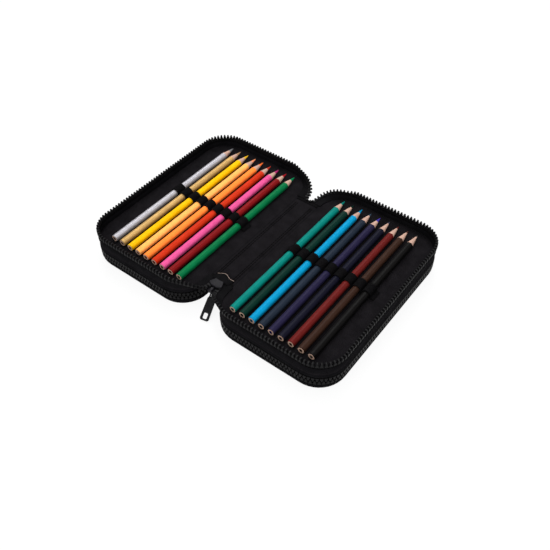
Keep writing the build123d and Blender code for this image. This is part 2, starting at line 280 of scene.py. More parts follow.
def bump(tree, surface, height, distance, strength, below=None):
    """Raise the surface by a height, on top of an earlier bump."""
    made = new_node(tree, "Bump", {"Height": height, "Distance": distance, "Strength": strength})
    if below:
        tree.links.new(below, made.inputs["Normal"])
    tree.links.new(made.outputs["Normal"], surface.inputs["Normal"])
    return made.outputs["Normal"]


def threads(tree, places, pair, direction):
    """Parallel threads on the piece's UV map, a light and a dark one to each width."""
    scale = math.tau / (WAVE_BANDS * pair)
    wave = new_node(tree, "TexWave", {"Scale": scale, "Vector": places["UV"]}, bands_direction=direction)
    return wave.outputs["Fac"]


def fade(tree, value, low, high, start=0.0, end=1.0):
    """Turn a value's way from low to high into one from start to end."""
    made = new_node(
        tree, "MapRange", {"Value": value, "From Min": low, "From Max": high, "To Min": start, "To Max": end}
    )
    return made.outputs["Result"]


def mixed(tree, share, first, second):
    """Mix two colours by a share."""
    inputs = {"Factor": share, "A": first, "B": second}
    return new_node(tree, "Mix", inputs, data_type="RGBA").outputs["Result"]


def woven(name, colour, thread, roughness=0.82, twill=False, wrinkle=0.0006, wrinkle_scale=28.0):
    """Black woven cloth: crossing threads on the piece's UV map, with soft wrinkles."""
    tree, surface, places = new_cloth(name, colour, roughness)
    vary_colour(tree, surface, places, colour, 90.0, 0.75, 1.35)
    warp = threads(tree, places, 2 * thread, "DIAGONAL" if twill else "X")
    weft = threads(tree, places, 2 * thread, "Y")
    crossing = new_node(tree, "Math", {0: warp, 1: weft}, operation="MULTIPLY" if twill else "ADD")
    folds = noisy(tree, places["Object"], wrinkle_scale, 3.0, Distortion=0.6)
    soft = bump(tree, surface, folds, wrinkle * 10, 0.35)
    bump(tree, surface, crossing.outputs["Value"], thread * 0.35, 0.5, soft)


def moulded(name, colour, roughness):
    """Moulded plastic or enamelled metal with a fine grain and slight wear."""
    tree, surface, places = new_material(name, colour, roughness, specular_ior_level=0.06)
    vary_colour(tree, surface, places, colour, 400.0, 0.8, 1.5)
    grain = noisy(tree, places["Object"], 2600.0, 4.0)
    worn = fade(tree, grain, 0.0, 1.0, roughness - 0.08, roughness + 0.14)
    tree.links.new(worn, surface.inputs["Roughness"])
    bump(tree, surface, grain, 0.00008, 0.3)


def ribbed(name, colour):
    """Ribbed elastic: fine cords along the band, bound by finer picks."""
    tree, surface, places = new_cloth(name, colour, 0.75)
    vary_colour(tree, surface, places, colour, 200.0, 0.75, 1.4)
    ribs = bump(tree, surface, threads(tree, places, 0.0011, "Y"), 0.0004, 0.6)
    bump(tree, surface, threads(tree, places, 0.0006, "X"), 0.00015, 0.4, ribs)


def lacquered(name, colour, lead_colour, sizes, metallic):
    """Pencil: gloss lacquer, bare wood where the cone cuts in, a paler sawn end (its end grain, with painted
    light on it) and a coloured lead.

    The map's first value is how deep the cone cuts, or SAWN on the blunt end. Its second is how far the
    lead shows.
    """
    tree, surface, places = new_material(
        name, colour, 0.45, coat_weight=0.01, coat_roughness=0.2, metallic=metallic, specular_ior_level=0.03
    )
    marks = new_node(tree, "UVMap", uv_map="cut")
    split = new_node(tree, "SeparateXYZ", {"Vector": marks.outputs["UV"]}).outputs
    stretch = new_node(tree, "Mapping", {"Scale": (900.0, 40.0, 900.0), "Vector": places["Object"]})
    fibres = noisy(tree, stretch.outputs["Vector"], 1.0, 4.0)
    sawn = fade(tree, split["X"], SAWN / 2, SAWN)
    bare = fade(tree, split["X"], 0.0, SHARP)
    core = fade(tree, split["Y"], 0.0, SHARP)
    wood = tone_ramp(tree, fibres, sizes.wood_colour, 0.7, 1.2)
    # The sawn end's paler wood: end grain with painted light.
    grain = mixed(tree, sawn, wood, toned(sizes.end_grain_lit_colour, 1))
    lead = mixed(tree, sawn, toned(lead_colour, 1), toned(lead_colour, 0.3))
    lacquer = vary_colour(tree, surface, places, colour, 120.0, 0.88, 1.08)
    casing = mixed(tree, bare, lacquer, grain)
    tree.links.new(mixed(tree, core, casing, lead), surface.inputs["Base Color"])
    tree.links.new(fade(tree, bare, 0.0, 1.0, 0.42, 0.7), surface.inputs["Roughness"])


def make_finishes(scene):
    """Every material of the case but the pencils'."""
    cloth, zips = scene.case_cloth, scene.case_zip
    woven("padded cloth", cloth.cloth_colour, cloth.thread)
    woven("lining cloth", cloth.lining_colour, cloth.thread, 0.86, wrinkle=0.0012, wrinkle_scale=22.0)
    woven("zip tape", cloth.tape_colour, cloth.thread * 1.3, 0.78, twill=True, wrinkle=0.0002)
    woven("binding tape", cloth.elastic_colour, cloth.thread * 1.2, 0.7, wrinkle=0.0002)
    woven("raw edge", cloth.raw_edge_colour, cloth.thread, 0.9, wrinkle=0.0002)
    # The thread is a tenth as bright as the cloth: dark thread, darkened further as painted shade of the seam
    # grooves.
    woven("sewing thread and seam shade", [0.1 * channel for channel in cloth.cloth_colour], cloth.thread * 0.4, 0.6)
    ribbed("ribbed elastic", cloth.elastic_colour)
    moulded("moulded teeth", zips.tooth_colour, 0.42)
    moulded("dark enamel", zips.metal_colour, 0.4)
    moulded("pull plastic", zips.pull_colour, 0.38)


# ---- making pieces ----
def to_mesh(name, bm):
    """Turn a bmesh into a mesh."""
    mesh = bpy.data.meshes.new(name)
    bm.to_mesh(mesh)
    bm.free()
    return mesh


def put(name, data):
    """Add an object to the scene."""
    made = bpy.data.objects.new(name, data)
    bpy.context.scene.collection.objects.link(made)
    return made


def finish_piece(name, bm, looks, body, nodes, side=1, smooth=math.radians(38)):
    """Turn a bmesh into a piece at the origin that stands for CAD nodes and rides on a body.

    What was made for the right half is mirrored where the side is the left one.
    """
    if side < 0:
        bmesh.ops.scale(bm, vec=(-1, 1, 1), verts=bm.verts)
        bmesh.ops.reverse_faces(bm, faces=bm.faces)
    for face in bm.faces:
        face.smooth = face.calc_area() < BROAD
    mesh = to_mesh(name, bm)
    mesh.set_sharp_from_angle(angle=smooth)
    piece = put(name, mesh)
    if "padded cloth" not in bpy.data.materials:
        make_finishes(bpy.context.scene)
    for look in looks:
        mesh.materials.append(bpy.data.materials[look])
    if nodes:
        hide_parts(*nodes)
    if body:
        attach(piece, body)
    return piece


def outwards(bm):
    """Turn every face outwards."""
    bmesh.ops.recalc_face_normals(bm, faces=bm.faces)


def picked(geom, kind):
    """The vertices or the edges among what an operator made."""
    return [item for item in geom if isinstance(item, kind)]


def chain(bm, points, closed=False):
    """Edges along a row of points, joined into a ring where it is closed."""
    verts = [bm.verts.new(point) for point in points]
    pairs = zip([verts[-1], *verts], verts) if closed else zip(verts, verts[1:])
    return [bm.edges.new(pair) for pair in pairs]


def draw_out(bm, edges, vec):
    """Extrude edges by a distance; returns the new edges and vertices."""
    made = bmesh.ops.extrude_edge_only(bm, edges=edges)["geom"]
    verts = picked(made, bmesh.types.BMVert)
    bmesh.ops.translate(bm, verts=verts, vec=vec)
    return picked(made, bmesh.types.BMEdge), verts


def lift(bm, faces, height):
    """Extrude flat faces upwards; returns the new vertices."""
    verts = picked(bmesh.ops.extrude_face_region(bm, geom=faces)["geom"], bmesh.types.BMVert)
    bmesh.ops.translate(bm, verts=verts, vec=(0, 0, height))
    return verts


def soften(bm, geom, width, segments, affect="EDGES"):
    """Round edges or corners; returns the new faces."""
    return bmesh.ops.bevel(
        bm, geom=geom, offset=width, offset_type="OFFSET", affect=affect, segments=segments, profile=0.5,
        material=-1,
    )["faces"]


def level_edges(bm):
    """Edges that lie level."""
    return [edge for edge in bm.edges if abs(edge.verts[0].co.z - edge.verts[1].co.z) < LEVEL]


def close_ends(bm, *ends):
    """Fill the cross-sections at a wall's ends."""
    for edges in ends:
        bmesh.ops.edgenet_fill(bm, edges=edges)


def sweep(bm, edges, legs):
    """Carry a cross-section along runs and round turns, and return its last edges."""
    for kind, amount, steps in legs:
        if kind == "turn":
            made = bmesh.ops.spin(
                bm, geom=edges, cent=(*amount, 0), axis=(0, 0, 1), angle=RIGHT_ANGLE, steps=steps
            )
            edges = picked(made["geom_last"], bmesh.types.BMEdge)
        else:
            for _ in range(steps):
                edges = draw_out(bm, edges, (amount[0] / steps, amount[1] / steps, 0))[0]
    return edges


def round_legs(whole=True):
    """Legs round the right half's wall, all the way from the spine side or only its outer U."""
    outer = [
        ("run", (cross, 0), RUN_STEPS), ("turn", (far_x, front_y), ARC_STEPS),
        ("run", (0, run), 2 * RUN_STEPS), ("turn", (far_x, back_y), ARC_STEPS),
        ("run", (-cross, 0), RUN_STEPS),
    ]
    if not whole:
        return outer
    return [
        ("turn", (corner_x, front_y), ARC_STEPS), *outer, ("turn", (corner_x, back_y), ARC_STEPS),
        ("run", (0, -run), RUN_STEPS),
    ]


def around(x, y):
    """Distance along the right half's wall, and the outward direction there."""
    reach_x, reach_y = (outer_x - fold_x) / 2 - corner_radius, run_half
    dx, dy = x - (fold_x + outer_x) / 2, y - mid_y
    near_x, near_y = max(-reach_x, min(reach_x, dx)), max(-reach_y, min(reach_y, dy))
    angle = math.atan2(dy - near_y, dx - near_x)
    turn = (angle + RIGHT_ANGLE) % math.tau
    spans = [near_x + reach_x, near_y + reach_y, reach_x - near_x, reach_y - near_y]
    whole = [2 * reach_x, 2 * reach_y, 2 * reach_x, 2 * reach_y]
    side = min(int(turn / RIGHT_ANGLE + SPECK), 3)
    outward = Vector((math.cos(angle), math.sin(angle), 0))
    return sum(whole[:side]) + spans[side] + corner_radius * turn, outward


def wall_map(bm):
    """UV map of a wall in metres: along the wall, and up and across it."""
    layer = bm.loops.layers.uv.verify()
    total = 4 * ((outer_x - fold_x) / 2 - corner_radius + run_half) + corner_radius * math.tau
    for face in bm.faces:
        middle = face.calc_center_median()
        centre = around(middle.x, middle.y)[0]
        flat = abs(face.normal.z) > 0.7
        for loop in face.loops:
            co = loop.vert.co
            along, outward = around(co.x, co.y)
            along += total * round((centre - along) / total)
            rise = co.z - (outward.x * co.x + outward.y * co.y if flat else 0)
            loop[layer].uv = (along, rise)


def map_by(bm, place):
    """UV map in metres by a rule that turns a corner's place into its two values."""
    layer = bm.loops.layers.uv.verify()
    for face in bm.faces:
        for loop in face.loops:
            loop[layer].uv = place(loop.vert.co)


def flat_map(bm):
    """UV map in metres, seen from above."""
    map_by(bm, lambda co: (co.x, co.y))


def swell(bm, amount, low, high, seed):
    """Push a wall's faces in and out a little between two heights, as padding does."""
    for vert in bm.verts:
        if low < vert.co.z < high:
            along, outward = around(vert.co.x, vert.co.y)
            part = math.sin(math.pi * (vert.co.z - low) / (high - low))
            drift = noise.noise(Vector((along * 28, vert.co.z * 40, seed)))
            vert.co += outward * amount * part * (0.5 + 1.2 * drift)


def rounded_sheet(bm, low, high, z, radius, segments):
    """Flat face between two corners in X and Y, with rounded corners."""
    verts = bmesh.ops.create_grid(bm, x_segments=1, y_segments=1, size=0.5)["verts"]
    bmesh.ops.scale(bm, vec=(high[0] - low[0], high[1] - low[1], 1), verts=verts)
    bmesh.ops.translate(bm, verts=verts, vec=((low[0] + high[0]) / 2, (low[1] + high[1]) / 2, z))
    soften(bm, verts, radius, segments, "VERTICES")


def prism(bm, outline, low, height):
    """Plate of an outline in X and Y; returns its vertices."""
    face = bm.faces.new([bm.verts.new((x, y, low)) for x, y in outline])
    return {*face.verts, *lift(bm, [face], height)}


def soft_box(bm, low, high, edge, segments=2):
    """Box between two corners with rounded edges."""
    verts = bmesh.ops.create_cube(bm, size=1)["verts"]
    bmesh.ops.scale(bm, vec=[abs(b - a) for a, b in zip(low, high)], verts=verts)
    bmesh.ops.translate(bm, verts=verts, vec=[(a + b) / 2 for a, b in zip(low, high)])
    soften(bm, list({side for vert in verts for side in vert.link_edges}), edge, segments)


def copy_along(bm, source, seats):
    """Place a copy of a small bmesh at every seat."""
    small = to_mesh("small part", source)
    for seat in seats:
        small.transform(seat)
        bm.from_mesh(small)
        small.transform(seat.inverted())
    bpy.data.meshes.remove(small)


def paint_new(bm, old, index):
    """Give a material slot to the faces that weren't there before."""
    for face in bm.faces:
        if face not in old:
            face.material_index = index


def seat_matrix(origin, along, up):
    """Matrix with X along, Y up and Z across."""
    along = along.normalized()
    up = (up - along * up.dot(along)).normalized()
    matrix = Matrix((along, up, along.cross(up))).transposed().to_4x4()
    matrix.translation = origin
    return matrix


def wall_seat(place, z, up, inset):
    """Seat on the wall's middle at a distance from the front end of the spine-side run."""
    radius = corner_radius - inset
    spot, along = Vector((fold_x + inset, front_y, z)), Vector((0, -1, 0))
    for kind, amount, _ in round_legs():
        if kind == "turn":
            part = min(place, radius * RIGHT_ANGLE)
            centre, turn = Vector((*amount, z)), Matrix.Rotation(part / radius, 3, "Z")
            spot, along = centre + turn @ (spot - centre), turn @ along
        else:
            part = min(place, Vector(amount).length)
            spot = spot + along * part
        place -= part
    return seat_matrix(spot, along, Vector((0, 0, up)))


def chain_seats(pitch, start, stop, phase, z, up, inset):
    """Seats of a row's teeth or of a line of stitches."""
    count = int((stop - start) / pitch - phase) + 1
    return [wall_seat(start + (k + phase) * pitch, z, up, inset) for k in range(count)]


def tooth():
    """Moulded tooth: a broad foot that nearly meets its neighbours, a waist and a rounded head."""
    depth = bpy.context.scene.case_zip.tooth_depth
    bm = bmesh.new()
    half = [(0.00145, -0.0004), (0.0014, 0.0015), (0.0009, 0.0021), (0.00083, 0.0033), (0.0006, 0.0039)]
    prism(bm, half + [(-x, y) for x, y in reversed(half)], -depth / 2, depth)
    outwards(bm)
    soften(bm, level_edges(bm), 0.0004, 1)
    return bm


def stitch(pitch, width=0.0007):
    """One sewn stitch, sunk into the cloth at its ends."""
    bm = bmesh.new()
    soft_box(bm, (-pitch * 0.4, -width / 2, -0.0002), (pitch * 0.4, width / 2, 0.00018), 0.00016)
    return bm


def hinge_wall(bm, low, high, up):
    """Spine-side wall that runs on round the back corner to the zip's top stop."""
    edge, base = (high, low) if up > 0 else (low, high)
    round_z = edge - up * 0.0006
    profile = [
        (0.0, base), (0.0, round_z), (0.0004, edge), (WALL - 0.0004, edge), (WALL, round_z), (WALL, base),
    ]
    edges = chain(bm, [(stop_x, mid_y + half_length - inset, z) for inset, z in profile], closed=True)
    legs = [
        ("run", (corner_x - stop_x, 0), 1), ("turn", (corner_x, back_y), ARC_STEPS),
        ("run", (0, -run), RUN_STEPS),
    ]
    close_ends(bm, edges, sweep(bm, edges, legs))


def top_stop(bm, z, up):
    """Moulded stop at the end of a zip's row."""
    back = mid_y + half_length - WALL / 2
    soft_box(bm, (stop_x - 0.0026, back - 0.0014, z - up * 0.0024), (stop_x, back + 0.0014, z), 0.0005)


# ---- cloth ----
class CASE_OT_covers(bpy.types.Operator):
    """Padded outer covers, with the lower row of each outer zip's wall"""

    bl_idname = "case.covers"
    bl_label = "Outer covers"

    def execute(self, context):
        """Sew each cover's padded edge, its board and its spine-side wall."""
        top = cover_rim_z
        profile = [
            (0.012, 0.0), (0.005, 0.0), (0.0018, 0.0004), (0.0004, 0.0013), (-0.0002, 0.0028),
            (-0.0002, 0.0048), (0.0003, top - 0.0003), (0.0008, top), (0.0013, top - 0.0003),
            (WALL, top - 0.001), (WALL, 0.0034), (0.0024, 0.0026), (0.012, 0.0026),
        ]
        for half, side in SIDES.items():
            bm = bmesh.new()
            sweep(bm, chain(bm, [(fold_x + inset, front_y, z) for inset, z in profile]), round_legs())
            bmesh.ops.remove_doubles(bm, verts=bm.verts, dist=SPECK)
            bmesh.ops.holes_fill(bm, edges=[edge for edge in bm.edges if edge.is_boundary], sides=0)
            outwards(bm)
            swell(bm, context.scene.case_cloth.padding, 0.003, top, side)
            hinge_wall(bm, top - 0.0005, hinge_high, 1)
            outwards(bm)
            wall_map(bm)
            piece = finish_piece(
                f"{half}_cover_cloth", bm, ["padded cloth"], f"{half}_cover", [f"{half}_cover"],
                side,
            )
        return {"FINISHED"}


def gusset_cloth(bm, side, padding):
    """Wall of the outer compartment, all round, with the spine-side wall under it."""
    low, high = outer_rim_z, deck_z
    profile = [
        (0.0003, low + 0.0002), (0.0001, low + 0.0012), (-0.0001, (low + high) / 2), (0.0001, high - 0.0006),
        (0.0006, high + BURIED), (0.0014, high + BURIED), (WALL, high - 0.0006), (WALL, low + 0.0008),
        (0.0013, low), (0.0008, low - 0.0002),
    ]
    sweep(bm, chain(bm, [(fold_x + inset, front_y, z) for inset, z in profile], closed=True), round_legs())
    bmesh.ops.remove_doubles(bm, verts=bm.verts, dist=SPECK)
    outwards(bm)
    swell(bm, padding, low, high, side + 4)
    hinge_wall(bm, hinge_low, low + 0.0005, -1)
    outwards(bm)
    wall_map(bm)


def divider_cloth(bm, *_):
    """Board that carries the pencils, with its rounded plan and softened edges; it has no padding."""
    rounded_sheet(
        bm, (fold_x, mid_y - half_length), (outer_x, mid_y + half_length), deck_z, corner_radius, RUN_STEPS
    )
    lift(bm, list(bm.faces), floor_z - deck_z)
    outwards(bm)
    soften(bm, level_edges(bm), 0.0008, 3)
    flat_map(bm)


def upright_cloth(bm, side, padding):
    """Upright wall round the pencils, with the centre zip's tape above its seam."""
    seam, middle = inner_tape_z, (floor_z + inner_tape_z) / 2
    profile = [
        (0.0004, floor_z - BURIED), (0.0001, floor_z + 0.0008), (-0.0001, middle), (0.0001, seam - 0.0005),
        (0.0003, seam + 0.0001), (0.0003, inner_rim_z), (0.0013, inner_rim_z), (0.0013, seam + 0.0001),
        (WALL, seam - 0.0005), (0.0018, middle), (0.0017, floor_z + 0.0008), (0.0014, floor_z - BURIED),
    ]
    edges = chain(bm, [(corner_x, mid_y - half_length + inset, z) for inset, z in profile], closed=True)
    close_ends(bm, edges, sweep(bm, edges, round_legs(whole=False)))
    outwards(bm)
    swell(bm, padding, floor_z, seam, side + 9)
    for face in bm.faces:
        face.material_index = 1 if face.calc_center_median().z > seam + 0.00005 else 0
    wall_map(bm)


class CASE_OT_decks(bpy.types.Operator):
    """Dividers, gussets and the centre zip's upright walls"""

    bl_idname = "case.decks"
    bl_label = "Dividers and gussets"

    def execute(self, context):
        """Sew each half's divider, its outer gusset and its inner wall with the zip tape."""
        for half, side in SIDES.items():
            for label, sew, looks, nodes, slot, fill in (
                ("outer_gusset_cloth", gusset_cloth, ["padded cloth"], ["outer_gusset"], "padded_cloth", 0.9),
                ("divider_cloth", divider_cloth, ["lining cloth"], ["divider"], "lining_cloth", 1.0),
                ("inner_wall", upright_cloth, ["padded cloth", "zip tape"], ["inner_gusset", "inner_tape"],
                 "padded_cloth", 0.9),
            ):
                bm = bmesh.new()
                sew(bm, side, context.scene.case_cloth.padding)
                nodes = [f"{half}_{node}" for node in nodes]
                piece = finish_piece(f"{half}_{label}", bm, looks, f"{half}_half", nodes, side)
        return {"FINISHED"}


# ---- twisted corners ----
def lean(turn):
    """How far the twisted wall leans towards the spine, in radians, at a turn in radians."""
    part = min(max((math.degrees(turn) - 20) / 60, 0), 1)
    return RIGHT_ANGLE * part * part * (3 - 2 * part)


def gore_point(end, turn, rise, depth=0.0):
    """Point on the twisted corner of the right half, up the wall from its crease."""
    tilt, radius = lean(turn), corner_radius - WALL / 2
    centre = Vector((
        corner_x - radius * math.sin(turn) - rise * math.sin(tilt),
        mid_y + end * (run_half + radius * math.cos(turn)),
        floor_z + 0.0005 * math.sin(tilt) + rise * math.cos(tilt),
    ))
    if depth:
        centre += gore_seat(end, turn, rise).to_3x3().col[2] * depth
    return centre


def gore_seat(end, turn, rise):
    """Seat on the twisted corner: X along the rim, Y up the wall."""
    up = gore_point(end, turn, rise + 0.001) - gore_point(end, turn, rise)
    along = gore_point(end, turn + GLANCE, rise) - gore_point(end, turn - GLANCE, rise)
    return seat_matrix(gore_point(end, turn, rise), along, up)


def gore_cloth(bm, end, rim, steps=20):
    """Wall and tape of one twisted corner, lofted strip by strip and lapped over the spine's end."""
    seam = inner_tape_z - floor_z
    half = [(-BURIED, 0.0005), (seam * 0.5, 0.0008), (seam, 0.0006), (seam + 0.0002, 0.0005), (rim, 0.0005)]
    section = [(rise, -depth) for rise, depth in half] + half[::-1]
    first = edges = chain(bm, [gore_point(end, 0, *spot) for spot in section], closed=True)
    for k in range(steps):
        last, turn = RIGHT_ANGLE * k / steps, RIGHT_ANGLE * (k + 1) / steps
        edges, verts = draw_out(bm, edges, (0, 0, 0))
        for vert in verts:
            spot = min(section, key=lambda spot: (gore_point(end, last, *spot) - vert.co).length)
            vert.co = gore_point(end, turn, *spot)
    tail = run_half - abs((spine_low if end < 0 else spine_high).y - mid_y) + TAIL_LAP
    for _ in range(3):
        edges = draw_out(bm, edges, (0, -end * tail / 3, 0))[0]
    close_ends(bm, first, edges)
    outwards(bm)


class CASE_OT_corners(bpy.types.Operator):
    """Twisted corners, where the zip turns down to the spine"""

    bl_idname = "case.corners"
    bl_label = "Twisted corners"

    def execute(self, context):
        """Sew each corner's wall, its tape and its teeth."""
        pitch = context.scene.case_zip.pitch
        rim, radius = inner_rim_z - floor_z, corner_radius - WALL / 2
        for half, side in SIDES.items():
            left_over = (2 * cross + run + radius * math.pi) / pitch - PHASES[half]
            offsets = (("front", -1, 1 - PHASES[half]), ("back", 1, math.ceil(left_over) - left_over))
            for label, end, offset in offsets:
                bm = bmesh.new()
                gore_cloth(bm, end, rim)
                map_by(bm, lambda co: (
                    math.atan2(corner_x - co.x, abs(co.y - mid_y) - run_half) * radius, co.z - co.x
                ))
                paint_new(bm, set(), 1)
                seats, turn = [], offset * pitch / radius
                while turn < math.radians(89):
                    seats.append(gore_seat(end, turn, rim - TURNED_SINK * min(turn / 0.4, 1)))
                    stride = gore_point(end, turn + GLANCE, rim) - gore_point(end, turn, rim)
                    turn += pitch * GLANCE / stride.length
                old = set(bm.faces)
                copy_along(bm, tooth(), seats)
                paint_new(bm, old, 2)
                piece = finish_piece(
                    f"{half}_{label}_corner_tape", bm, ["padded cloth", "zip tape", "moulded teeth"], None,
                    [f"{half}_{label}_corner"], side,
                )
                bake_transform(piece)
        return {"FINISHED"}


def divide_long(bm, axes, length, cuts):
    """Divide the edges that reach further than a length on one of the axes."""
    edges = [
        edge for edge in bm.edges
        if max(abs(edge.verts[0].co[axis] - edge.verts[1].co[axis]) for axis in axes) > length
    ]
    bmesh.ops.subdivide_edges(bm, edges=edges, cuts=cuts)


class CASE_OT_folds(bpy.types.Operator):
    """Cloth hinges between the spine, the halves and the covers"""

    bl_idname = "case.folds"
    bl_label = "Folds"

    def execute(self, context):
        """Lay a strip of cloth inside each fold."""
        reach, thick = 0.0025, 0.0004
        fold_z = (hinge_low + hinge_high) / 2
        gap = hinge_low - fold_z
        under, inside = floor_z - 0.0006, fold_x + 0.0002
        strips = (
            ("spine_fold", "spine", (fold_x - reach, under), (fold_x + reach, under + thick),
             (fold_x + gap, floor_z), (fold_x - gap, floor_z)),
            ("cover_fold", "", (inside, fold_z - reach), (inside + thick, fold_z + reach),
             (fold_x, hinge_low), (fold_x, hinge_high)),
        )
        for half, side in SIDES.items():
            for label, far, low, high, start, end in strips:
                bm = bmesh.new()
                soft_box(bm, (low[0], front_y, low[1]), (high[0], back_y, high[1]), thick * 0.3, 1)
                divide_long(bm, (0, 2), reach, 24)
                map_by(bm, lambda co: (co.y, co.x))
                piece = finish_piece(
                    f"{half}_{label}_cloth", bm, ["padded cloth"], None, [], side
                )
                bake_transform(piece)
        return {"FINISHED"}


# ---- rows of teeth and lines of stitches ----
class CASE_OT_teeth(bpy.types.Operator):
    """Rows of moulded zip teeth"""

    bl_idname = "case.teeth"
    bl_label = "Zip teeth"

    def execute(self, context):
        """Set the teeth of the outer zips and of the centre zip's outer run."""
        pitch = context.scene.case_zip.pitch
        inset = WALL / 2
        bend = (corner_radius - inset) * RIGHT_ANGLE
        whole = 2 * cross + run + 4 * bend
        stop = whole - bend - ((slider_low.x + slider_high.x) / 2 - corner_x)
        for half, side in SIDES.items():
            for label, body, start, end, offset, z, up in (
                ("cover_teeth", "cover", pitch / 2, stop, 0.25, cover_rim_z, 1),
                ("outer_teeth", "half", pitch / 2, stop, 0.75, outer_rim_z, -1),
                ("inner_teeth", "half", bend, whole - bend, PHASES[half], inner_rim_z, 1),
            ):
                bm = bmesh.new()
                copy_along(bm, tooth(), chain_seats(pitch, start, end, offset, z, up, inset))
                if label != "inner_teeth":
                    top_stop(bm, hinge_high if up > 0 else hinge_low, up)
                finish_piece(
                    f"{half}_{label}_row", bm, ["moulded teeth"], f"{half}_{body}", [f"{half}_{label}"],
                    side,
                )
        return {"FINISHED"}


class CASE_OT_stitching(bpy.types.Operator):
    """Lines of stitches on the walls"""

    bl_idname = "case.stitching"
    bl_label = "Stitching"

    def execute(self, context):
        """Sew the lines beside the tapes and the folds."""
        pitch = context.scene.case_cloth.stitch_pitch
        bend = corner_radius * RIGHT_ANGLE
        whole = 2 * cross + run + 4 * bend
        for half, side in SIDES.items():
            for label, body, z, insets in (
                ("wall", "half", inner_tape_z + 0.0012, (0.00025, 0.00135)),
                ("cover", "cover", cover_rim_z - 0.0014, (-0.0001,)),
                ("gusset", "half", outer_rim_z + 0.0014, (-0.0001,)),
            ):
                bm = bmesh.new()
                for inset in insets:
                    start, end = 0, whole - bend * 0.1
                    if label == "wall":
                        start, end = (corner_radius - inset) * RIGHT_ANGLE, whole - bend
                    copy_along(bm, stitch(pitch), chain_seats(pitch, start, end, 0.5, z, 1, inset))
                finish_piece(
                    f"{half}_{label}_stitches", bm, ["sewing thread and seam shade"], f"{half}_{body}", [],
                    side,
                )
        return {"FINISHED"}


# ---- spine ----
def panel_cloth(bm):
    """Spine panel with its four lines of stitches."""
    pitch = bpy.context.scene.case_cloth.stitch_pitch
    soft_box(bm, spine_low, spine_high, 0.0007, 3)
    flat_map(bm)
    old = set(bm.faces)
    margin = 0.006
    for x in (-0.0095, -0.0075, 0.0075, 0.0095):
        places = [
            Vector((x, spine_low.y + margin + (k + 0.5) * pitch, spine_high.z + 0.00002))
            for k in range(int((spine_high.y - spine_low.y - 2 * margin) / pitch))
        ]
        seats = [seat_matrix(place, Vector((0, 1, 0)), Vector((-1, 0, 0))) for place in places]
        copy_along(bm, stitch(pitch, 0.0009), seats)
    paint_new(bm, old, 1)


def end_bindings(bm):
    """Tapes that bind the spine's two ends."""
    low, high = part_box("spine_bindings")
    for first, last in ((low.y, low.y + 0.005), (high.y - 0.005, high.y)):
        soft_box(bm, (low.x, first, low.z), (high.x, last, high.z), 0.00025)
    flat_map(bm)


def folded_end(bm):
    """Folded tape end of the centre zip, crowned and a little askew, with its raw edge."""
    low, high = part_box("centre_tape_end")
    crown, wave, skew = 0.0019, 0.0011, 0.0011
    high.y -= 0.0018
    soft_box(bm, low, high, 0.0003)
    divide_long(bm, (0,), 0.01, 12)
    old = set(bm.faces)
    soft_box(bm, (low.x, high.y - 0.0006, low.z), (high.x, high.y - 0.0001, high.z + 0.0002), 0.00015)
    divide_long(bm, (0,), 0.01, 12)
    paint_new(bm, old, 1)
    for vert in bm.verts:
        part = vert.co.x / high.x
        vert.co.z += crown * (1 - part * part)
        vert.co.y += wave * math.cos(4 * part + 0.6) * (vert.co.y - low.y) / (high.y - low.y)
        vert.co.x += skew * (vert.co.y - low.y) / (high.y - low.y)
    flat_map(bm)


def bottom_stop(bm):
    """Moulded block where the centre zip begins."""
    soft_box(bm, *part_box("centre_bottom_stop"), 0.0004)


def top_stops(bm):
    """Two moulded stops where the centre zip ends."""
    low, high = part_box("centre_top_stops")
    width = 0.0024
    for first, last in ((low.x, low.x + width), (high.x - width, high.x)):
        soft_box(bm, (first, low.y, low.z), (last, high.y, high.z), 0.0005)


class CASE_OT_spine(bpy.types.Operator):
    """Spine panel with its bindings, tape end and stops"""

    bl_idname = "case.spine"
    bl_label = "Spine"

    def execute(self, context):
        """Sew the spine between the two halves."""
        for name, sew, looks, node, slot in (
            ("spine_cloth", panel_cloth, ["lining cloth", "sewing thread and seam shade"], "spine_panel", "lining_cloth"),
            ("spine_binding_tapes", end_bindings, ["binding tape"], "spine_bindings", "binding"),
            ("folded_tape_end", folded_end, ["zip tape", "raw edge"], "centre_tape_end", "zip_tape"),
            ("bottom_stop", bottom_stop, ["moulded teeth"], "centre_bottom_stop", "zip_teeth"),
            ("top_stops", top_stops, ["moulded teeth"], "centre_top_stops", "zip_teeth"),
        ):
            bm = bmesh.new()
            sew(bm)
            piece = finish_piece(name, bm, looks, "spine", [node])
        return {"FINISHED"}


# ---- sliders and pulls ----
def slider_shape(bm):
    """Slider at the origin: X to its mouth, Z out of the case."""
    gap, length = bpy.context.scene.case_zip.tooth_depth / 2 + PLAY, 0.013
    outer_half = [(-0.0065, 0.0041), (-0.0013, 0.0055), (0.0029, 0.006), (0.0052, 0.0054), (0.0065, 0.0026)]
    inner_half = [(-0.0078, 0.0037), (-0.006, 0.0048), (-0.0018, 0.0067), (-0.0006, 0.0066), (0.0014, 0.0034)]
    for low, half in ((gap, outer_half), (-gap - PLATE, inner_half)):
        near = prism(bm, [(x, -y) for x, y in half] + half[::-1], low, PLATE)
        rims = [edge for edge in bm.edges if near.issuperset(edge.verts)]
        soften(bm, rims, 0.00045, 3)
    soft_box(bm, (length / 2 - 0.004, -0.0012, -gap - 0.0002), (length / 2, 0.0012, gap + 0.0002), 0.0003)
    top, bar, span, rise, wide = gap + PLATE, 0.0011, 0.0074, 0.003, 0.0011
    for x in (-span / 2 + bar / 2, span / 2 - bar / 2):
        soft_box(bm, (x - bar / 2, -wide, top - 0.0002), (x + bar / 2, wide, top + rise - 0.0003), 0.0003)
    soft_box(bm, (-span / 2, -wide, top + rise - bar), (span / 2, wide, top + rise), 0.0005, 3)
    outwards(bm)


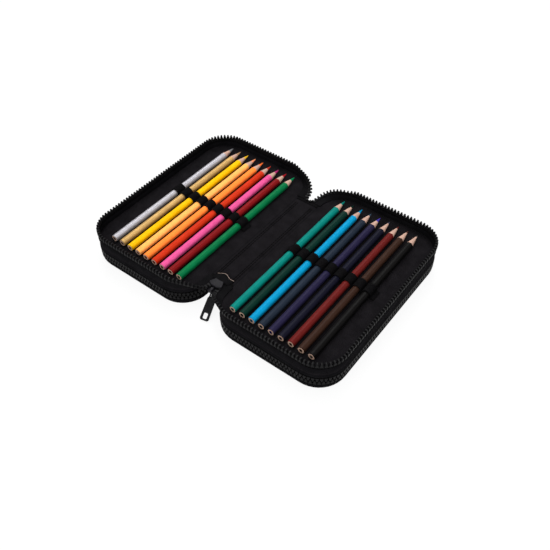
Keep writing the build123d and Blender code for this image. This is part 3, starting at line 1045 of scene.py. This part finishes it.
def frame_shape(bm, outer, inner, corner, thickness, rounding):
    """Flat plate with a rounded window: outer and inner boxes in X and Y."""
    for (x0, y0, x1, y1), radius in ((outer, corner), (inner, corner * 0.6)):
        rounded_sheet(bm, (x0, y0), (x1, y1), -thickness / 2, radius, 4)
    sheets = list(bm.faces)
    rims = [edge for sheet in sheets for edge in sheet.edges]
    bmesh.ops.delete(bm, geom=sheets, context="FACES_ONLY")
    lift(bm, bmesh.ops.bridge_loops(bm, edges=rims)["faces"], thickness)
    outwards(bm)
    steep = [
        edge for edge in level_edges(bm)
        if len(edge.link_faces) == 2 and edge.calc_face_angle(0) > math.radians(60)
    ]
    soften(bm, steep, rounding, 2)


def link_shape(bm):
    """Wire ring from its hinge bar at the origin, along X."""
    length, width = 0.01, 0.0068
    frame_shape(
        bm, (-WIRE / 2, -width / 2, length - WIRE / 2, width / 2),
        (WIRE / 2, WIRE - width / 2, length - 1.5 * WIRE, width / 2 - WIRE), 0.0018, WIRE, 0.0004,
    )


def pull_shape(bm):
    """Moulded pull that closes round the ring's far half, with a raised border and a window near its end."""
    start, end, thickness, half, taper = 0.0072, 0.029, 0.0018, 0.0045, 0.08
    frame_shape(
        bm, (start, -half, end, half), (end - 0.007, -0.0023, end - 0.0017, 0.0023), 0.002, thickness, 0.0005
    )
    for vert in bm.verts:
        part = min(max((end - vert.co.x) / (end - start), 0), 1)
        if abs(vert.co.y) > 0.0025:
            vert.co.y *= 1 - taper * part
    top = thickness / 2 + 0.0002
    for y in (-0.0028, 0.0028):
        soft_box(bm, (start + 0.0025, y - 0.00035, -top), (end - 0.003, y + 0.00035, top), 0.0002)
    barrel = bmesh.ops.create_cone(
        bm, cap_ends=True, segments=20, radius1=0.0017, radius2=0.0017, depth=0.0056
    )["verts"]
    bmesh.ops.rotate(bm, verts=barrel, cent=(0, 0, 0), matrix=Matrix.Rotation(RIGHT_ANGLE, 3, "X"))
    bmesh.ops.translate(bm, verts=barrel, vec=(0.0087, 0, 0))


class CASE_OT_pulls(bpy.types.Operator):
    """Sliders with their rings and pulls"""

    bl_idname = "case.pulls"
    bl_label = "Sliders and pulls"

    def execute(self, context):
        """Set one slider on the centre zip and one on each outer zip."""
        reach = context.scene.case_zip.tooth_depth / 2 + PLAY + PLATE + PLAY + WIRE / 2
        hinges = {joint["name"]: joint["pos_m"] for joint in frame["joints"] if "pull" in joint["name"]}
        sets = [("centre", "spine", Vector((0, -1, 0)), Vector((0, 0, -1)), 35, -10)]
        for half, side in SIDES.items():
            sets.append((f"{half}_outer", f"{half}_half", Vector((-side, 0, 0)), Vector((0, 1, 0)), 180, 0))
        for label, carrier, mouth, out, droop, swing in sets:
            pivot = Vector(hinges[f"{label}_pull_hinge"])
            seat = Matrix((mouth, out.cross(mouth), out)).transposed().to_4x4()
            hang = seat.copy()
            seat.translation = pivot - out * reach
            hang.translation = pivot
            for degrees, axis in ((-droop, "Y"), (swing, "Z")):
                hang = hang @ Matrix.Rotation(math.radians(degrees), 4, axis)
            for name, shape, place, look, body, node, slot in (
                ("slider_body", slider_shape, seat, "dark enamel", carrier, "slider", "dark_metal"),
                ("ring", link_shape, hang, "dark enamel", f"{label}_pull", "pull_link", "dark_metal"),
                ("pull", pull_shape, hang, "pull plastic", f"{label}_pull", "pull_tab", "pull_rubber"),
            ):
                bm = bmesh.new()
                shape(bm)
                bmesh.ops.transform(bm, matrix=place, verts=bm.verts)
                finish_piece(f"{label}_{name}", bm, [look], body, [f"{label}_{node}"])
        return {"FINISHED"}


# ---- loops and pencils ----
def band_line(low, high, colours):
    """Path of an elastic band over its pencils, in X and Z."""
    centres = sorted(sum(corner.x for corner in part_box(f"pencil_{colour}")) / 2 for colour in colours)
    pencil_low, pencil_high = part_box(f"pencil_{colours[0]}")
    hug, axis_z = (pencil_high.z - pencil_low.z) / 2 + 0.0003, (pencil_high.z + pencil_low.z) / 2
    foot_z = floor_z + 0.0002
    line = [(low.x, foot_z)]
    for x in centres:
        for degrees in (196, 172, 148, 124, 104, 90, 76, 56, 32, 8, -16):
            angle, near = math.radians(degrees), math.radians(degrees % 60 - 30)
            reach = hug / max(math.cos(near), 0.93)
            line.append((x + reach * math.cos(angle), axis_z + reach * math.sin(angle)))
        if x != centres[-1]:
            line.append((x + (centres[1] - centres[0]) / 2, axis_z - 0.0012))
    return [*line, (high.x, foot_z)]


class CASE_OT_loops(bpy.types.Operator):
    """Elastic loops that hold the pencils"""

    bl_idname = "case.loops"
    bl_label = "Pencil loops"

    def execute(self, context):
        """Lay one elastic band over each half's pencils, sewn down between them."""
        strips = 6
        for half, colours in (("right", RIGHT_COLOURS), ("left", LEFT_COLOURS)):
            low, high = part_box(f"{half}_pencil_loops")
            line = band_line(low, high, list(colours))
            lengths, along = {}, 0.0
            for last, spot in zip([line[0], *line], line):
                along += math.dist(last, spot)
                lengths[(round(spot[0], 6), round(spot[1], 6))] = along
            bm = bmesh.new()
            edges = chain(bm, [(x, low.y, z) for x, z in line])
            for _ in range(strips):
                edges = draw_out(bm, edges, (0, (high.y - low.y) / strips, 0))[0]
            map_by(bm, lambda co: (lengths[(round(co.x, 6), round(co.z, 6))], co.y))
            outwards(bm)
            if sum(face.normal.z for face in bm.faces) < 0:
                bmesh.ops.reverse_faces(bm, faces=bm.faces)
            piece = finish_piece(
                f"{half}_elastic_loops", bm, ["ribbed elastic"], f"{half}_half", [f"{half}_pencil_loops"],
                smooth=math.radians(60),
            )
            thick = piece.modifiers.new("thickness", "SOLIDIFY")
            thick.thickness, thick.offset = 0.00085, 1
            soft = piece.modifiers.new("soft edges", "BEVEL")
            soft.width, soft.segments = 0.0002, 2
            soft.limit_method, soft.angle_limit = "ANGLE", math.radians(60)
        return {"FINISHED"}


def hex_radius(angle, flats, rounding):
    """Radius of a hexagon with flats up and down and softened edges."""
    near = (angle - math.pi / 6) % (math.pi / 3) - math.pi / 6
    return min(flats / math.cos(near), flats / math.cos(math.pi / 6) - rounding / 2)


def draw_pencil(bm, low, high, lead, sizes):
    """Hexagonal pencil with a sharpened cone; its map is the one that its lacquer reads."""
    middle, flats = (low + high) / 2, sizes.slimness * (high.z - low.z) / 2
    point, chamfer, cuts = 0.0003, 0.0003, 24
    slope = (flats / math.cos(math.pi / 6) - point) / sizes.sharpened
    ring = bmesh.ops.create_circle(bm, cap_ends=False, segments=48, radius=flats)["verts"]
    bmesh.ops.rotate(bm, verts=ring, cent=(0, 0, 0), matrix=Matrix.Rotation(RIGHT_ANGLE, 3, "X"))
    edges = list(bm.edges)
    cone_places = [high.y - sizes.sharpened * (1 - k / cuts) for k in range(-1, cuts + 1)]
    stations = [
        (low.y, SPECK), (low.y, sizes.lead), (low.y, flats - chamfer), (low.y + chamfer, flats * 2),
        *((y, flats * 2) for y in cone_places), (high.y, SPECK),
    ]
    for k, (y, most) in enumerate(stations):
        if k:
            edges, ring = draw_out(bm, edges, (0, 0, 0))
        for vert in ring:
            angle = math.atan2(vert.co.z, vert.co.x)
            radius = min(most, hex_radius(angle, flats, sizes.edge_round), point + slope * (high.y - y))
            vert.co = (radius * math.cos(angle), y, radius * math.sin(angle))
    layer = bm.loops.layers.uv.new("cut")
    for face in bm.faces:
        at_end = max(vert.co.y for vert in face.verts) < low.y + SPECK
        for loop in face.loops:
            co = loop.vert.co
            cone = point + slope * (high.y - co.y)
            cut = hex_radius(math.atan2(co.z, co.x), flats, sizes.edge_round) - cone
            loop[layer].uv = (SAWN, sizes.lead - math.hypot(co.x, co.z)) if at_end else (cut, lead - cone)
    bmesh.ops.remove_doubles(bm, verts=bm.verts, dist=2 * SPECK)
    outwards(bm)
    bmesh.ops.translate(bm, verts=bm.verts, vec=(middle.x, 0, middle.z))


class CASE_OT_pencils(bpy.types.Operator):
    """Eighteen sharpened pencils"""

    bl_idname = "case.pencils"
    bl_label = "Pencils"

    def execute(self, context):
        """Sharpen a lacquered hexagonal pencil in each loop."""
        sizes = context.scene.case_pencil
        for colour, shade in {**LEFT_COLOURS, **RIGHT_COLOURS}.items():
            bm = bmesh.new()
            draw_pencil(bm, *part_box(f"pencil_{colour}"), sizes.lead * THIN_LEADS.get(colour, 1), sizes)
            core = LEAD_COLOURS_AND_SHEEN.get(colour, [0.8 * channel for channel in shade])
            lacquered(f"{colour} lacquer", shade, core, sizes, 0.35 if colour in ("silver", "gold") else 0.0)
            finish_piece(
                f"pencil_{colour}_drawn", bm, [f"{colour} lacquer"], f"pencil_{colour}", [f"pencil_{colour}"],
                smooth=math.radians(10),
            )
        return {"FINISHED"}


# ---- stage ----
def shown_white(tree, plain, white, output, share):
    """Show a share of white to the camera and to mirror and clear rays, and the plain shader to the rest."""
    rays = new_node(tree, "LightPath").outputs
    seen = rays["Is Camera Ray"]
    for ray in ("Is Glossy Ray", "Is Transmission Ray"):
        seen = new_node(tree, "Math", {0: seen, 1: rays[ray]}, operation="MAXIMUM").outputs["Value"]
    part = new_node(tree, "Math", {0: seen, 1: share}, operation="MULTIPLY").outputs["Value"]
    blend = new_node(tree, "MixShader", {"Fac": part, 1: plain, 2: white})
    tree.links.new(blend.outputs["Shader"], tree.nodes[output].inputs["Surface"])


def aimed(name, data, place, turned):
    """Put a light or a camera in its place, turned as told."""
    holder = put(name, data)
    holder.location = place
    holder.rotation_mode = "QUATERNION"
    holder.rotation_quaternion = turned
    return holder


class CASE_OT_stage(bpy.types.Operator):
    """Pale floor, soft lights and the camera"""

    bl_idname = "case.stage"
    bl_label = "Stage"

    def execute(self, context):
        """Set up the studio."""
        scene, stage = context.scene, context.scene.case_stage
        bm = bmesh.new()
        bmesh.ops.create_grid(bm, x_segments=1, y_segments=1, size=6)
        floor = put("floor", to_mesh("floor", bm))
        tree, surface, places = new_material("pale floor", stage.floor_colour, 0.9)
        floor.data.materials.append(bpy.data.materials["pale floor"])
        glow = new_node(tree, "Emission", {"Color": WHITE, "Strength": 1.0}).outputs["Emission"]
        away = new_node(tree, "VectorMath", {0: places["Object"]}, operation="LENGTH").outputs["Value"]
        share = fade(tree, away, 0.3, 1.0, FLOOR_WHITE, 1.0)
        shown_white(tree, surface.outputs["BSDF"], glow, "Material Output", share)

        world = bpy.data.worlds.new("studio")
        scene.world = world
        world.use_nodes = True
        tree = world.node_tree
        sky = tree.nodes["Background"]
        sky.inputs["Color"].default_value = WHITE
        sky.inputs["Strength"].default_value = 0.5
        white = new_node(tree, "Background", {"Color": WHITE, "Strength": 1.0}).outputs["Background"]
        shown_white(tree, sky.outputs["Background"], white, "World Output", 1.0)

        centre = (cad_low + cad_high) / 2
        for name, place, size, power in (
            ("key light", (-0.5, 0.7, 1.1), 0.9, 13.0),
            ("fill light", (0.3, -1.05, 0.75), 1.1, 10.5),
            ("top light", (0.1, 0.1, 1.5), 1.2, 12.0),
        ):
            lamp = bpy.data.lights.new(name, "AREA")
            lamp.energy, lamp.size = power, size
            aimed(name, lamp, centre + Vector(place), (-Vector(place)).to_track_quat("-Z", "Y"))

        camera = bpy.data.cameras.new("camera")
        camera.sensor_width, camera.lens = 36, stage.lens
        camera.clip_start, camera.clip_end = 0.01, 20
        a, e = stage.azimuth, stage.elevation
        back = Vector((math.sin(a) * math.cos(e), -math.cos(a) * math.cos(e), math.sin(e)))
        turned = (-back).to_track_quat("-Z", "Y") @ Matrix.Rotation(stage.roll, 3, "Z").to_quaternion()
        scene.camera = aimed("camera", camera, Vector(stage.target) + back * stage.distance, turned)
        scene.view_settings.view_transform = "Standard"
        return {"FINISHED"}


class CASE_PT_panel(bpy.types.Panel):
    """Buttons and sizes of the pencil case"""

    bl_idname = "CASE_PT_panel"
    bl_label = "Pencil case"
    bl_space_type = "VIEW_3D"
    bl_region_type = "UI"
    bl_category = "Pencil case"

    def draw(self, context):
        """List the operators and their settings."""
        for operator in OPERATORS:
            self.layout.operator(operator.bl_idname)
        for group in GROUPS:
            settings = getattr(context.scene, group)
            column = self.layout.column(heading=group)
            for key in settings.__annotations__:
                column.prop(settings, key)


GROUPS = {
    "case_cloth": ClothSettings, "case_zip": ZipSettings, "case_pencil": PencilSettings,
    "case_stage": StageSettings,
}
OPERATORS = (
    CASE_OT_stage, CASE_OT_covers, CASE_OT_decks, CASE_OT_corners, CASE_OT_folds, CASE_OT_teeth,
    CASE_OT_stitching, CASE_OT_spine, CASE_OT_pulls, CASE_OT_loops, CASE_OT_pencils,
)


def register():
    """Register the settings, the operators and the panel."""
    for name, group in GROUPS.items():
        bpy.utils.register_class(group)
        setattr(bpy.types.Scene, name, bpy.props.PointerProperty(type=group))
    for item in (*OPERATORS, CASE_PT_panel):
        bpy.utils.register_class(item)


def unregister():
    """Take them away again."""
    for item in (CASE_PT_panel, *reversed(OPERATORS)):
        bpy.utils.unregister_class(item)
    for name, group in GROUPS.items():
        delattr(bpy.types.Scene, name)
        bpy.utils.unregister_class(group)


def main():
    """Build the whole scene."""
    register()
    for operator in OPERATORS:
        group, name = operator.bl_idname.split(".")
        getattr(getattr(bpy.ops, group), name)()


if __name__ == "__main__":
    main()
